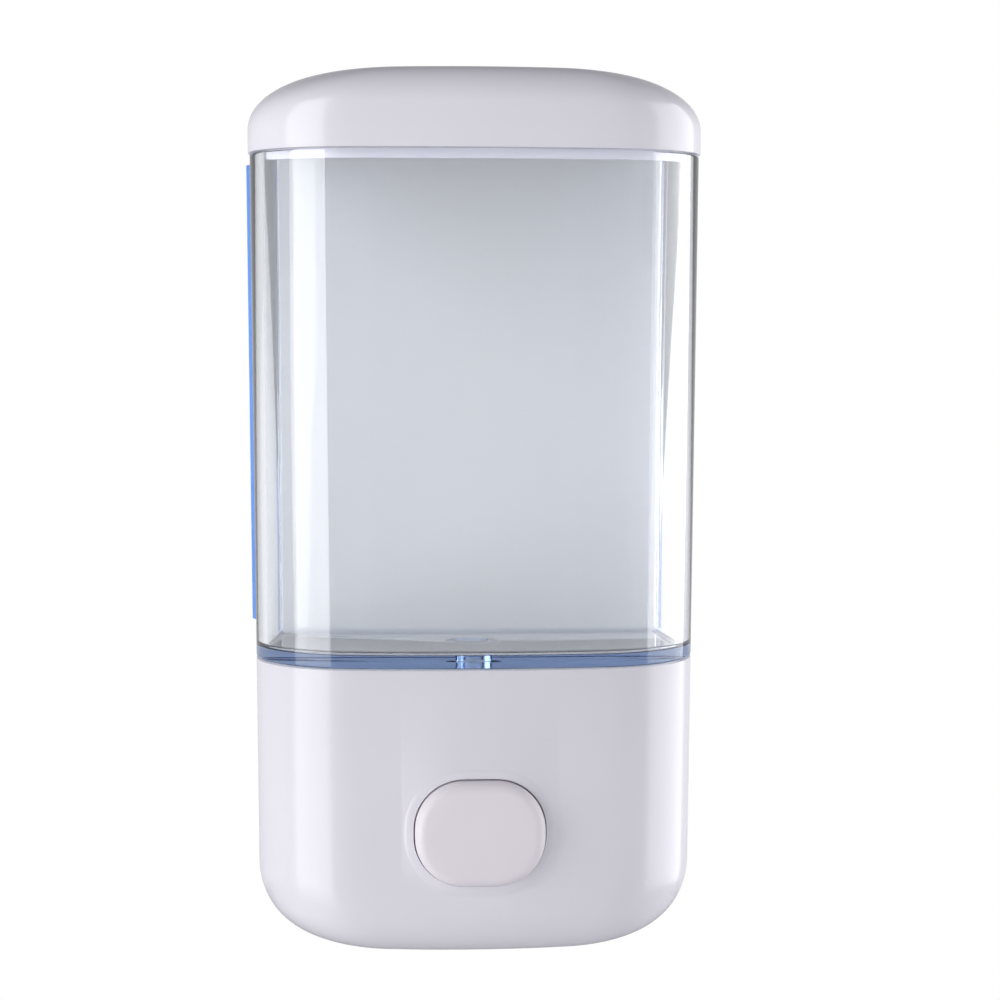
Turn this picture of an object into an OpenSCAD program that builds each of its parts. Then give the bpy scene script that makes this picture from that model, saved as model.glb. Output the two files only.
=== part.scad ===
// Wall mounted soap dispenser: a clear tank under a hinged lid, over a push button pump.
// Frame: +Z up, the wall is the plane Y = 0, the front faces -Y, X = 0 is the middle.
// The origin is the middle of the four wall screw holes. A size that ends in _d is a
// distance out from the wall, and one that ends in _z is a height.

/* [Body] */
// Width of the body at the top of the tank
body_w = 100; // [88:1:130]
// Depth of the body from the wall to its front face
body_d = 72; // [66:1:100]
// How much narrower the body is at its foot than at the top of the tank
body_draft = 3; // [0:0.2:6]
// Radius of the upright front corners
plan_r = 24; // [14:0.5:26]
// Radius of the front face's gentle bow, seen from above
front_bow_r = 240; // [200:10:400]
// Radius of the upright back corners
back_r = 1.5; // [0.8:0.1:2]
// Wall of the white mouldings
shell_t = 2.4; // [2:0.1:3]
// Gap between mouldings that meet without touching
seam_gap = 0.3; // [0.2:0.05:0.5]
// Gap between the wall and what hangs in front of it
wall_gap = 0.4; // [0.2:0.1:1]

/* [Tank] */
// Height of the clear tank
tank_h = 111.5; // [80:0.5:160]
// Wall of the clear tank
tank_t = 2.4; // [1.8:0.1:3]
// Floor of the clear tank
floor_t = 2.8; // [2:0.1:4]
// Inside radius of the tank's back corners
tank_back_r = 3; // [1:0.5:6]
// How far the flange at the tank's back stands out on each side
flange_w = 2.2; // [1:0.1:2.6]
// Thickness of that flange
flange_t = 1.6; // [1:0.1:2.4]
// Height of the flange's lower end above the tank's underside
flange_lift = 4; // [4:0.5:10]
// Bore of the tank's outlet spigot
spigot_bore_r = 4; // [3:0.1:4.4]
// Wall of the outlet spigot
spigot_t = 2; // [1.6:0.1:2.6]
// Length of the outlet spigot below the tank
spigot_l = 13; // [10:0.5:15]

/* [Lid] */
// Height of the lid
lid_h = 17.7; // [16:0.1:26]
// Width of the lid's rounded top corners
lid_corner_w = 23; // [14:0.5:28]
// Height of the lid's rounded top corners
lid_corner_h = 12.5; // [8:0.5:15]
// Radius of the lid's top front edge
lid_front_r = 8; // [4:0.5:12]
// How far the lid stands out past the tank
lid_overhang = 0.4; // [0:0.1:1]
// How far the lid's plug reaches down inside the tank
plug_h = 2.4; // [1.5:0.1:3]
// Thickness of the plug
plug_t = 1.6; // [1.2:0.1:2.4]
// Gap between the plug and the tank, for the plug's swing
plug_gap = 1; // [0.8:0.1:1.5]

/* [Hinge] */
// Radius of the hinge pins
pin_r = 1.5; // [1:0.1:2]
// Running clearance of a pin in its ear
pin_clear = 0.05; // [0.02:0.01:0.1]
// Wall of the ear round the pin
ear_t = 1.1; // [0.9:0.1:1.6]
// Width of each ear
ear_w = 10; // [6:1:14]
// Width of each lug on the lid
lug_w = 4; // [3:0.5:6]
// Distance of each ear from the middle
ear_x = 25; // [20:1:30]

/* [Pump cover] */
// Height of the pump cover
cover_h = 63.2; // [58:0.2:90]
// Radius of the cover's lower corners, seen from the front
cover_corner_r = 17; // [10:0.5:22]
// Radius of the cover's lower front edge
cover_front_r = 9; // [4:0.5:12]
// Width of the raised rim round the button
rim_w = 2; // [1:0.1:3]
// Height of that rim
rim_h = 0.4; // [0.2:0.1:0.8]

/* [Button] */
// Width of the button
button_w = 28.3; // [22:0.1:40]
// Height of the button
button_h = 23; // [22:0.1:30]
// Radius of the button's corners
button_r = 10.7; // [5:0.1:11]
// Distance of the button's middle below the tank
button_drop = 35.7; // [30:0.1:40]
// How far the button stands out of the cover
button_proud = 3.5; // [2:0.1:6]
// Travel of the button
button_stroke = 8; // [5:0.5:10]
// Wall of the button
button_t = 1.8; // [1.4:0.1:2.4]
// Gap between the button and its opening
button_gap = 0.45; // [0.2:0.05:0.8]
// Size of the button's rounded front edge
button_edge = 2.6; // [1:0.1:3]

/* [Pump] */
// Bore of the pump barrel
bore_r = 7; // [5:0.1:9]
// Wall of the pump barrel
barrel_t = 2; // [1.6:0.1:3]
// Running clearance of the piston and of its rod
piston_clear = 0.05; // [0.02:0.01:0.1]
// Radius of the piston rod
rod_r = 3; // [2:0.1:3.5]
// Length of the piston's head
piston_l = 6; // [5:0.5:10]
// Radius of the ports into and out of the barrel
port_r = 3; // [2:0.1:3.5]
// Length of the return spring at rest
spring_l = 18; // [16:0.5:24]
// Mean radius of the spring
spring_r = 7; // [5.8:0.1:8]
// Radius of the spring's wire
wire_r = 0.5; // [0.3:0.05:0.7]
// Number of turns in the spring
spring_turns = 8; // [5:1:10]
// Radius of the channel from the barrel to the nozzle
channel_r = 1.8; // [1.2:0.1:2.2]
// How far that channel runs forward
channel_l = 12; // [10:0.5:18]
// How far the nozzle reaches below the cover
nozzle_drop = 4.5; // [2:0.5:7]

/* [Wall plate] */
// Spacing of the wall screws across
hole_dx = 50; // [40:1:60]
// Spacing of the wall screws up and down
hole_dz = 90; // [80:1:100]
// Radius of the wall screw holes
hole_r = 2.25; // [2:0.05:2.5]
// Height of the middle of the screw holes above the cover's underside
hole_height = 98.5; // [90:0.5:130]
// Thickness of the wall plate
plate_t = 3; // [2.6:0.1:4]
// Space between the wall plate and the back panel, for the hooks
hook_space = 5; // [4.6:0.1:7]
// Height of each hook
hook_h = 12; // [8:1:14]

/* [Screws] */
// Radius of the screws' shanks
screw_r = 1.4; // [1.2:0.1:1.6]
// Radius of the screws' heads
head_r = 2.9; // [2.5:0.1:3.4]

/* [Hidden] */
$fn = 64;
arc_steps = 12; // straight steps along each rounded corner
past = 1; // how far a cut runs past the face it opens
bond = 0.2; // how far joined shapes run into each other
skin = 0.02; // thickness of a slice, or of a gap that only keeps two faces apart
hole_gap = 0.2; // left round a part that passes freely

white = [0.93, 0.92, 0.95];
clear_blue = [0.62, 0.74, 0.95, 0.45];
natural = [0.88, 0.88, 0.84];
silicone = [0.80, 0.80, 0.80];
steel = [0.70, 0.71, 0.73];

// Heights
foot_z = -hole_height;
cover_top_z = foot_z + cover_h;
tank_z = cover_top_z + seam_gap;
tank_top_z = tank_z + tank_h;
lid_z = tank_top_z + seam_gap;
lid_top_z = lid_z + lid_h;
shelf_z = cover_top_z - shell_t;
button_z = tank_z - button_drop;

// Distances from the wall
panel_back_d = plate_t + hook_space;
panel_d = panel_back_d + shell_t;
tank_back_d = panel_d + seam_gap;

// Half the body's width at a height: the sides lean in towards the foot
lean = body_draft / 2 / (tank_top_z - foot_z);
function half_w(z) = body_w / 2 - lean * (tank_top_z - z);

// Hinge: its axis is the centre of the lid's rounded top back edge, so the edge turns on the spot
ear_r = pin_r + ear_t;
ear_gap = 0.2; // from an ear to the inside of the lid
hinge_inset = shell_t + ear_r + ear_gap;
hinge_d = wall_gap + hinge_inset;
hinge_z = lid_top_z - hinge_inset;
swing_gap = 0.6;
neck_z = hinge_z - hinge_inset - swing_gap; // top of the back panel, clear of the lid's swing

// Pump, from the button's back face towards the wall
button_back_d = body_d + button_proud - button_t;
cap_d = button_back_d - spring_l;
cap_t = 3; // flange of the barrel cap
cap_plug_l = 4; // its plug inside the barrel
barrel_d = cap_d - cap_t;
barrel_r = bore_r + barrel_t;
end_gap = 0.5; // left beyond the piston's travel, and beyond the ports
piston_d = barrel_d - cap_plug_l - 2 * end_gap; // front of the piston's head at rest
piston_back_d = piston_d - piston_l;
port_d = piston_back_d - button_stroke - end_gap - port_r;
bore_end_d = port_d - port_r - end_gap;
barrel_back_d = bore_end_d - barrel_t;
seal_r = 0.88; // thickness radius of the piston's ring
rod_end_gap = 1; // from the rod's end to the back of the button's face

// Inlet: the tank's spigot in the pump's socket, on the valve's flange
spigot_r = spigot_bore_r + spigot_t;
spigot_z = tank_z - spigot_l;
socket_gap = 0.4;
socket_r = spigot_r + socket_gap;
socket_t = 2.2;
ring_depth = 0.8; // groove of the tank's ring
valve_flange_t = 1.2;
socket_z = spigot_z - valve_flange_t;

// Outlet: a channel under the barrel, then a spout down through the cover
channel_t = 1.6;
stopper_t = 1; // head of the channel's plug
channel_z = button_z - barrel_r - hole_gap - stopper_t - channel_r;
outlet_d = port_d + channel_l;
spout_r = 5.5;
spout_l = 9.5;
outlet_z = channel_z - spout_l; // lower end of the pump's spout
channel_end_d = outlet_d + spout_r + end_gap;
rib_half_w = channel_r + channel_t / 2; // the rib that joins the channel to the barrel
valve_r = 2.8; // body of both valves
valve_l = 6;
nozzle_t = 1.7;
nozzle_gap = 0.1;
nozzle_in_r = spout_r + nozzle_gap;
nozzle_r = nozzle_in_r + nozzle_t;
nozzle_tip_r = 4.6;
nozzle_cup_l = 4.5; // how far the nozzle's cup reaches up the spout
nozzle_room = 1; // from the nozzle to the cover
nozzle_seal_r = 0.7; // thickness radius of the nozzle's ring
nozzle_tip_z = foot_z - nozzle_drop;
nozzle_bore_r = 3.2;

// Screws
pump_screw_out = 9; // from the barrel's side
pump_screw_x = barrel_r + pump_screw_out;
post_r = 4;
mount_t = 2.5; // the pump's mounting ears
mount_h = 12;
pan_head_t = 1.8;
pump_screw_l = 11;
cover_screw_x = 26;
foot_h = 6; // the blocks that take the cover's screws
foot_w = 12;
foot_out = 11; // how far the blocks stand out of the back panel
cover_screw_d = panel_d + 6;
flat_head_t = 1.2;
cover_screw_l = 8;

// Points along an arc about [x, y] with two radii, from one angle to another
function arc(at, rx, ry, from, to) = [
    for (i = [0:arc_steps])
        let (t = from + (to - from) * i / arc_steps) [at.x + rx * cos(t), at.y + ry * sin(t)]
];

// How far the bowed front face falls back at a distance from the middle
function front_fall(x) = front_bow_r - sqrt(pow(front_bow_r, 2) - pow(x, 2));

// The body seen from above: square at the back, with wide rounded corners and a bowed front.
// A corner and the bow have one tangent where they meet, a turn away from straight ahead.
function plan_outline(half, near_d, far_d, r, r_back) =
    let (
        bow = front_bow_r + r - plan_r,
        side = half - r,
        turn = asin(side / (bow - r)),
        bow_y = bow - far_d,
        corner_y = bow_y - (bow - r) * cos(turn),
        front = arc([0, bow_y], bow, bow, turn - 90, -turn - 90)
    )
    concat(
        arc([half - r_back, -near_d - r_back], r_back, r_back, 90, 0),
        arc([side, corner_y], r, r, 0, turn - 90),
        [for (i = [1:arc_steps - 1]) front[i]],
        arc([-side, corner_y], r, r, -turn - 90, -180),
        arc([r_back - half, -near_d - r_back], r_back, r_back, 180, 90)
    );

// A rectangle with rounded corners about the origin
function pad_outline(w, h, r) = concat(
    arc([w / 2 - r, h / 2 - r], r, r, 0, 90),
    arc([r - w / 2, h / 2 - r], r, r, 90, 180),
    arc([r - w / 2, r - h / 2], r, r, 180, 270),
    arc([w / 2 - r, r - h / 2], r, r, 270, 360)
);

// The pump cover seen from the front, and from its side
function cover_front(inset, top_z) =
    let (
        r = cover_corner_r - inset,
        z = foot_z + inset,
        half = half_w(z + r) - inset,
        top = half_w(top_z) - inset
    )
    concat(
        [[top, top_z], [-top, top_z]],
        arc([r - half, z + r], r, r, 180, 270),
        arc([half - r, z + r], r, r, 270, 360)
    );
function cover_side(inset, near_d, top_z) =
    let (r = cover_front_r - inset, far = body_d - inset, z = foot_z + inset)
    concat(
        [[-near_d, z], [-near_d, top_z], [-far, top_z]],
        arc([r - far, z + r], r, r, 180, 270)
    );

// The lid seen from the front, and from its side: the outside, and the hollow under it
function lid_front(inset, low_z) =
    let (
        half = body_w / 2 + lid_overhang - inset,
        rx = lid_corner_w - inset,
        rz = lid_corner_h - inset,
        z = lid_top_z - inset - rz
    )
    concat(
        [[-half, low_z], [half, low_z]],
        arc([half - rx, z], rx, rz, 0, 90),
        arc([rx - half, z], rx, rz, 90, 180)
    );
function lid_top_side(inset) =
    let (r = lid_front_r - inset, far = body_d + lid_overhang - inset)
    concat(
        arc([-hinge_d, hinge_z], hinge_inset - inset, hinge_inset - inset, 0, 90),
        arc([r - far, lid_top_z - inset - r], r, r, 90, 180)
    );
lid_notch_d = 7; // the lid's back corners are cut up from here, to swing past the tank
lid_notch_h = 1.6;
lid_side = concat(
    lid_top_side(0),
    [
        [-body_d - lid_overhang, lid_z],
        [-lid_notch_d, lid_z],
        [-wall_gap, lid_z + lid_notch_h]
    ]
);
lid_hollow_side = concat(
    [[past, hinge_z]],
    lid_top_side(shell_t),
    [[shell_t - body_d - lid_overhang, lid_z - past], [past, lid_z - past]]
);

// The back panel seen from the front: inside the cover, behind the tank, and under the lid
neck_in = 8; // from the body's side to the part of the panel under the lid
neck_half = body_w / 2 - neck_in;
shoulder_drop = 1.5;
shoulder_z = tank_top_z - shoulder_drop;
function panel_right(inset) =
    let (z = shoulder_z - inset, gap = seam_gap + inset)
    [
        [half_w(tank_z) - shell_t - gap, tank_z + inset],
        [half_w(tank_z) - gap, tank_z + inset],
        [half_w(shoulder_z) - gap, z],
        [neck_half - inset, z],
        [neck_half - inset, neck_z - inset]
    ];
function panel_outline(inset) =
    let (
        gap = shell_t + seam_gap + inset,
        r = cover_corner_r - gap,
        half = half_w(foot_z + cover_corner_r) - gap,
        right = panel_right(inset)
    )
    concat(
        arc([r - half, foot_z + gap + r], r, r, 180, 270),
        arc([half - r, foot_z + gap + r], r, r, 270, 360),
        right,
        [for (i = [len(right) - 1:-1:0]) [-right[i].x, right[i].y]]
    );

// Extrude an outline up, out from the wall, or across the body
module upwards(low, high) translate([0, 0, low]) linear_extrude(high - low) children();
module outwards(near_d, far_d)
    translate([0, -near_d, 0]) rotate([90, 0, 0]) linear_extrude(far_d - near_d) children();
module across(w) rotate([90, 0, 90]) linear_extrude(w, center = true) children();

// Round bars along each direction
module bar_out(r, near_d, far_d, x, z)
    translate([x, -near_d, z]) rotate([90, 0, 0]) cylinder(r = r, h = far_d - near_d);
module bar_up(r, low, high, x, d) translate([x, -d, low]) cylinder(r = r, h = high - low);
module bar_across(r, x1, x2, d, z)
    translate([x1, -d, z]) rotate([0, 90, 0]) cylinder(r = r, h = x2 - x1);
module block(x1, x2, near_d, far_d, low, high)
    translate([x1, -far_d, low]) cube([x2 - x1, far_d - near_d, high - low]);
module both_sides() {
    children();
    mirror([1, 0, 0]) children();
}

// The part of the body between two heights, set in from its outside
module body_block(inset, low, high, near_d, r_back)
    intersection() {
        upwards(low, high)
            polygon(plan_outline(
                body_w / 2 - inset, near_d, body_d - inset, plan_r - inset, r_back
            ));
        outwards(near_d - past, body_d + past)
            polygon([
                [half_w(high) - inset, high],
                [-half_w(high) + inset, high],
                [-half_w(low) + inset, low],
                [half_w(low) - inset, low]
            ]);
    }

module ring(radius, thickness_r) rotate_extrude() translate([radius, 0]) circle(r = thickness_r);

// Wall plate: screwed to the wall, with four hooks that the back panel hangs on
hook_w = 10;
hook_x = 20;
hook_low_zs = [-34, 22];
hook_t = 3; // foot of each hook
slot_w = 1.8; // between the plate and each hook's lip
lip_t = 1.4;
lip_d = plate_t + slot_w;
plate_margin_x = 9;
plate_margin_z = 12;
plate_r = 6;
head_rise = 2; // how much wider a countersunk head is than its shank
csk_r = hole_r + head_rise;
csk_h = 1.6;
module wall_hook(low)
    translate([hook_x - hook_w / 2, 0, 0]) {
        block(0, hook_w, plate_t - past, lip_d + lip_t, low, low + hook_t);
        block(0, hook_w, lip_d, lip_d + lip_t, low, low + hook_h);
    }
module wall_plate()
    color(white)
        difference() {
            union() {
                outwards(0, plate_t)
                    polygon(pad_outline(
                        hole_dx + 2 * plate_margin_x, hole_dz + 2 * plate_margin_z, plate_r
                    ));
                both_sides() for (low = hook_low_zs) wall_hook(low);
            }
            for (x = [-hole_dx / 2, hole_dx / 2], z = [-hole_dz / 2, hole_dz / 2]) {
                bar_out(hole_r, -past, plate_t + past, x, z);
                translate([x, csk_h - plate_t, z])
                    rotate([90, 0, 0]) cylinder(r1 = hole_r, r2 = csk_r, h = csk_h);
                translate([x, -plate_t, z]) rotate([90, 0, 0]) cylinder(r = csk_r, h = past);
            }
        }

// Back panel: a tray over the wall plate, with the tank's shelf, the pump's posts and the hinge ears
hook_clear = 0.3;
lug_t = 2.5; // top of each hanging lug
tray_t = 2.2;
module hanging_lug(low)
    translate([hook_x - hook_w / 2, 0, 0]) {
        top = low + hook_h + hook_clear;
        block(0, hook_w, plate_t + hook_clear, panel_back_d + past, top, top + lug_t);
        block(
            0, hook_w, plate_t + hook_clear, lip_d - hook_clear,
            low + hook_t + 2 * hook_clear, top + past
        );
    }
module shelf()
    intersection() {
        upwards(shelf_z, cover_top_z)
            polygon(plan_outline(
                half_w(shelf_z) - shell_t - seam_gap, panel_back_d,
                body_d - shell_t - seam_gap, plan_r - shell_t - seam_gap, back_r
            ));
        outwards(panel_back_d, body_d) polygon(panel_outline(0));
    }
module back_panel()
    color(white)
        difference() {
            union() {
                difference() {
                    outwards(wall_gap, panel_d) polygon(panel_outline(0));
                    outwards(-past, panel_back_d) polygon(panel_outline(tray_t));
                }
                shelf();
                both_sides() {
                    for (low = hook_low_zs) hanging_lug(low);
                    bar_out(post_r, panel_back_d, barrel_back_d, pump_screw_x, button_z);
                    block(
                        cover_screw_x - foot_w / 2, cover_screw_x + foot_w / 2,
                        panel_back_d, panel_d + foot_out,
                        foot_z + shell_t + seam_gap, foot_z + shell_t + seam_gap + foot_h
                    );
                    block(
                        ear_x - ear_w / 2, ear_x + ear_w / 2, panel_back_d, panel_d,
                        neck_z - past, hinge_z + ear_r
                    );
                    bar_across(ear_r, ear_x - ear_w / 2, ear_x + ear_w / 2, hinge_d, hinge_z);
                    block(
                        ear_x - ear_w / 2, ear_x + ear_w / 2, hinge_d, panel_d,
                        hinge_z - pin_r, hinge_z + ear_r
                    );
                }
            }
            both_sides() {
                bar_out(
                    screw_r, barrel_back_d + mount_t - pump_screw_l, barrel_back_d + past,
                    pump_screw_x, button_z
                );
                bar_up(
                    screw_r, foot_z, foot_z + flat_head_t + cover_screw_l,
                    cover_screw_x, cover_screw_d
                );
                bar_across(
                    pin_r + pin_clear, ear_x - ear_w, ear_x + ear_w, hinge_d, hinge_z
                );
            }
            bar_up(spigot_r + socket_gap, shelf_z - past, cover_top_z + past, 0, port_d);
        }

// Tank: a clear open box with its outlet spigot and back flange
flange_foot_in = 1; // the flange's sloping lower end stops this far inside the tank's side
module tank_flange()
    outwards(tank_back_d, tank_back_d + flange_t)
        polygon([
            [half_w(tank_top_z) - plan_r, tank_top_z],
            [half_w(tank_top_z) + flange_w, tank_top_z],
            [half_w(tank_z + flange_lift) + flange_w, tank_z + flange_lift],
            [half_w(tank_z) - flange_foot_in, tank_z + flange_lift - flange_w - flange_foot_in],
            [half_w(tank_z) - plan_r, tank_z + flange_lift - flange_w - flange_foot_in]
        ]);
module tank()
    color(clear_blue)
        difference() {
            union() {
                body_block(0, tank_z, tank_top_z, tank_back_d, back_r);
                both_sides() tank_flange();
                bar_up(spigot_r, spigot_z, tank_z + past, 0, port_d);
            }
            body_block(
                tank_t, tank_z + floor_t, tank_top_z + past, tank_back_d + tank_t, tank_back_r
            );
            bar_up(spigot_bore_r, spigot_z - past, tank_z + floor_t + past, 0, port_d);
            translate([0, -port_d, spigot_z + spigot_l / 2])
                difference() {
                    cylinder(r = spigot_r + past, h = 2 * ring_depth, center = true);
                    cylinder(r = spigot_r - ring_depth, h = 4 * ring_depth, center = true);
                }
        }

// Rubber ring between the tank's spigot and the pump's socket
module tank_seal()
    color(silicone)
        translate([0, -port_d, spigot_z + spigot_l / 2])
            ring(
                spigot_r - ring_depth + (ring_depth + socket_gap) / 2,
                (ring_depth + socket_gap - skin) / 2
            );

// Lid: a hollow cap with a plug that keys into the tank, hinged along its top back edge
lid_rim_h = 2;
plug_back_in = 3; // from the tank's back wall to the plug
plug_back_d = tank_back_d + tank_t + plug_back_in;
module lid_level(low, high, outer_inset, inner_inset)
    difference() {
        body_block(outer_inset, low, high, plug_back_d, back_r);
        body_block(
            inner_inset, low - past, high + past, plug_back_d - 2 * past, back_r
        );
    }
module lid()
    color(white)
        difference() {
            union() {
                difference() {
                    intersection() {
                        upwards(lid_z, lid_top_z)
                            polygon(plan_outline(
                                body_w / 2 + lid_overhang, wall_gap, body_d + lid_overhang,
                                plan_r + lid_overhang, wall_gap
                            ));
                        outwards(wall_gap, body_d + lid_overhang) polygon(lid_front(0, lid_z));
                        across(body_w + 2 * lid_overhang) polygon(lid_side);
                    }
                    intersection() {
                        upwards(lid_z - past, lid_top_z)
                            polygon(plan_outline(
                                body_w / 2 + lid_overhang - shell_t, -past,
                                body_d + lid_overhang - shell_t,
                                plan_r + lid_overhang - shell_t, wall_gap
                            ));
                        outwards(-past, body_d) polygon(lid_front(shell_t, lid_z - past));
                        across(body_w) polygon(lid_hollow_side);
                    }
                }
                lid_level(
                    lid_z - plug_h, lid_z + lid_rim_h,
                    tank_t + plug_gap, tank_t + plug_gap + plug_t
                );
                lid_level(
                    lid_z, lid_z + lid_rim_h, shell_t - lid_overhang - bond,
                    tank_t + plug_gap + bond
                );
                both_sides()
                    for (side = [-1, 1])
                        translate([
                            ear_x + side * (ear_w / 2 + seam_gap + lug_w / 2) - lug_w / 2, 0, 0
                        ])
                            bar_across(hinge_inset - shell_t + bond, 0, lug_w, hinge_d, hinge_z);
            }
            both_sides() bar_across(pin_r, pin_x1 - past, pin_x2 + past, hinge_d, hinge_z);
        }

// Hinge pins: held in the lid's lugs, turning in the panel's ears
pin_x1 = ear_x - ear_w / 2 - seam_gap - lug_w;
pin_x2 = ear_x + ear_w / 2 + seam_gap + lug_w;
module hinge_pins()
    color(steel) both_sides() bar_across(pin_r, pin_x1, pin_x2, hinge_d, hinge_z);

// Pump cover: the white shell with the button's opening, the nozzle's hole and two screw holes
module cover_block(inset, near_d, top_z, r_back)
    intersection() {
        upwards(foot_z + inset, top_z)
            polygon(plan_outline(
                body_w / 2 - inset, near_d, body_d - inset, plan_r - inset, r_back
            ));
        outwards(near_d, body_d) polygon(cover_front(inset, top_z));
        across(body_w) polygon(cover_side(inset, near_d, top_z));
    }
tab_x = 18; // the cover's two tabs under the shelf
tab_w = 8;
tab_d = body_d - shell_t - front_fall(tab_x + tab_w / 2);
tab_l = 5;
tab_t = 2.4;
module at_button(near_d, far_d) translate([0, 0, button_z]) outwards(near_d, far_d) children();
module pump_cover()
    color(white)
        difference() {
            union() {
                difference() {
                    cover_block(0, wall_gap, cover_top_z, wall_gap);
                    cover_block(shell_t, -past, cover_top_z + past, wall_gap);
                }
                at_button(body_d - past, body_d + rim_h)
                    polygon(pad_outline(
                        button_w + 2 * (button_gap + rim_w), button_h + 2 * (button_gap + rim_w),
                        button_r + button_gap + rim_w
                    ));
                both_sides()
                    block(
                        tab_x - tab_w / 2, tab_x + tab_w / 2,
                        tab_d - tab_l, tab_d + past,
                        shelf_z - seam_gap - tab_t, shelf_z - seam_gap
                    );
            }
            at_button(body_d - shell_t - past, body_d + rim_h + past)
                polygon(pad_outline(
                    button_w + 2 * button_gap, button_h + 2 * button_gap, button_r + button_gap
                ));
            bar_up(nozzle_r + nozzle_room, foot_z - past, foot_z + shell_t + past, 0, outlet_d);
            both_sides() {
                bar_up(
                    screw_r + hole_gap, foot_z - past, foot_z + shell_t + past,
                    cover_screw_x, cover_screw_d
                );
                bar_up(
                    head_r + hole_gap, foot_z - past, foot_z + flat_head_t,
                    cover_screw_x, cover_screw_d
                );
            }
        }

// A screw that points up, with its head's seat at the origin and a cross recess below
recess_w = 3.2;
recess_t = 0.8;
recess_h = 0.7;
module screw(head_t, shank_l) {
    difference() {
        translate([0, 0, -head_t]) cylinder(r = head_r, h = head_t);
        for (turn = [0, 90])
            rotate(turn)
                translate([-recess_w / 2, -recess_t / 2, -head_t - past])
                    cube([recess_w, recess_t, past + recess_h]);
    }
    cylinder(r = screw_r, h = shank_l);
}
module cover_screws()
    color(steel)
        both_sides()
            translate([cover_screw_x, -cover_screw_d, foot_z + flat_head_t])
                screw(flat_head_t, cover_screw_l);
module pump_screws()
    color(steel)
        both_sides()
            translate([pump_screw_x, -barrel_back_d - mount_t, button_z])
                rotate([-90, 0, 0]) screw(pan_head_t, pump_screw_l);

// Pump body: a barrel that lies front to back, a socket for the tank and a spout for the nozzle
module pump_body()
    color(natural)
        difference() {
            union() {
                bar_out(barrel_r, barrel_back_d, barrel_d, 0, button_z);
                block(
                    -pump_screw_x - mount_h / 2, pump_screw_x + mount_h / 2,
                    barrel_back_d, barrel_back_d + mount_t,
                    button_z - mount_h / 2, button_z + mount_h / 2
                );
                bar_up(socket_r + socket_t, button_z, shelf_z - seam_gap, 0, port_d);
                bar_out(channel_r + channel_t, barrel_back_d, channel_end_d, 0, channel_z);
                block(
                    -rib_half_w, rib_half_w, barrel_back_d, channel_end_d,
                    channel_z, button_z - bore_r - barrel_t / 2
                );
                bar_up(spout_r, outlet_z, channel_z, 0, outlet_d);
            }
            bar_out(bore_r, bore_end_d, barrel_d + past, 0, button_z);
            bar_up(port_r, button_z, socket_z + past, 0, port_d);
            bar_up(socket_r, socket_z, shelf_z, 0, port_d);
            bar_up(channel_r, channel_z, button_z, 0, port_d);
            bar_out(channel_r, port_d - channel_r, channel_end_d + past, 0, channel_z);
            bar_up(channel_r, outlet_z - past, channel_z, 0, outlet_d);
            both_sides()
                bar_out(
                    screw_r + hole_gap, barrel_back_d - past, barrel_back_d + mount_t + past,
                    pump_screw_x, button_z
                );
        }

// Plug in the front end of the channel
module channel_plug()
    color(natural) {
        bar_out(channel_r, outlet_d + channel_r + hole_gap, channel_end_d, 0, channel_z);
        bar_out(channel_r + stopper_t, channel_end_d, channel_end_d + stopper_t, 0, channel_z);
    }

// Cap that closes the barrel and guides the piston rod
module barrel_cap()
    color(natural)
        difference() {
            union() {
                bar_out(barrel_r, barrel_d, cap_d, 0, button_z);
                bar_out(bore_r, barrel_d - cap_plug_l, barrel_d + past, 0, button_z);
            }
            bar_out(rod_r + piston_clear, barrel_d - cap_plug_l - past, cap_d + past, 0, button_z);
        }

// Silicone duckbill valve: its flange's flow side at the origin, its lips pointing down
valve_t = 0.8; // wall at the valve's neck
neck_l = 2; // round part of the valve below its flange
lip_w = 4.8; // the flat lips at the lower end
lips_t = 1.2;
slit_w = 3.2; // the slit between the lips
slit_t = 0.2;
valve_room = 0.1; // from the flange to what it sits in
valve_sides = 32;
module duckbill(flange_r)
    difference() {
        union() {
            translate([0, 0, -valve_flange_t]) cylinder(r = flange_r, h = valve_flange_t);
            hull() {
                translate([0, 0, -valve_flange_t - neck_l])
                    cylinder(r = valve_r, h = neck_l + bond, $fn = valve_sides);
                translate([-lip_w / 2, -lips_t / 2, -valve_flange_t - valve_l])
                    cube([lip_w, lips_t, lips_t]);
            }
        }
        hull() {
            translate([0, 0, -valve_flange_t - neck_l])
                cylinder(r = valve_r - valve_t, h = valve_flange_t + neck_l + past, $fn = valve_sides);
            translate([-slit_w / 2, -slit_t / 2, -valve_flange_t - valve_l - past])
                cube([slit_w, slit_t, past]);
        }
    }
module inlet_valve()
    color(silicone) translate([0, -port_d, spigot_z]) duckbill(socket_r - valve_room);
module outlet_valve()
    color(silicone) translate([0, -outlet_d, outlet_z]) duckbill(spout_r - valve_room);

// Nozzle: a cup over the spout that narrows to the tip below the cover
seat_z = outlet_z - valve_flange_t;
cup_z = outlet_z + nozzle_cup_l;
taper_z = foot_z - 1; // the nozzle narrows from here down
module nozzle()
    color(white)
        translate([0, -outlet_d, 0])
            rotate_extrude()
                polygon([
                    [nozzle_bore_r, nozzle_tip_z],
                    [nozzle_tip_r, nozzle_tip_z],
                    [nozzle_r, taper_z],
                    [nozzle_r, cup_z],
                    [nozzle_in_r, cup_z],
                    [nozzle_in_r, seat_z],
                    [nozzle_bore_r, seat_z]
                ]);

// Rubber ring between the nozzle's rim and the pump
module nozzle_seal()
    color(silicone)
        translate([0, -outlet_d, cup_z + nozzle_seal_r])
            ring(spout_r + skin + nozzle_seal_r, nozzle_seal_r);

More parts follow.
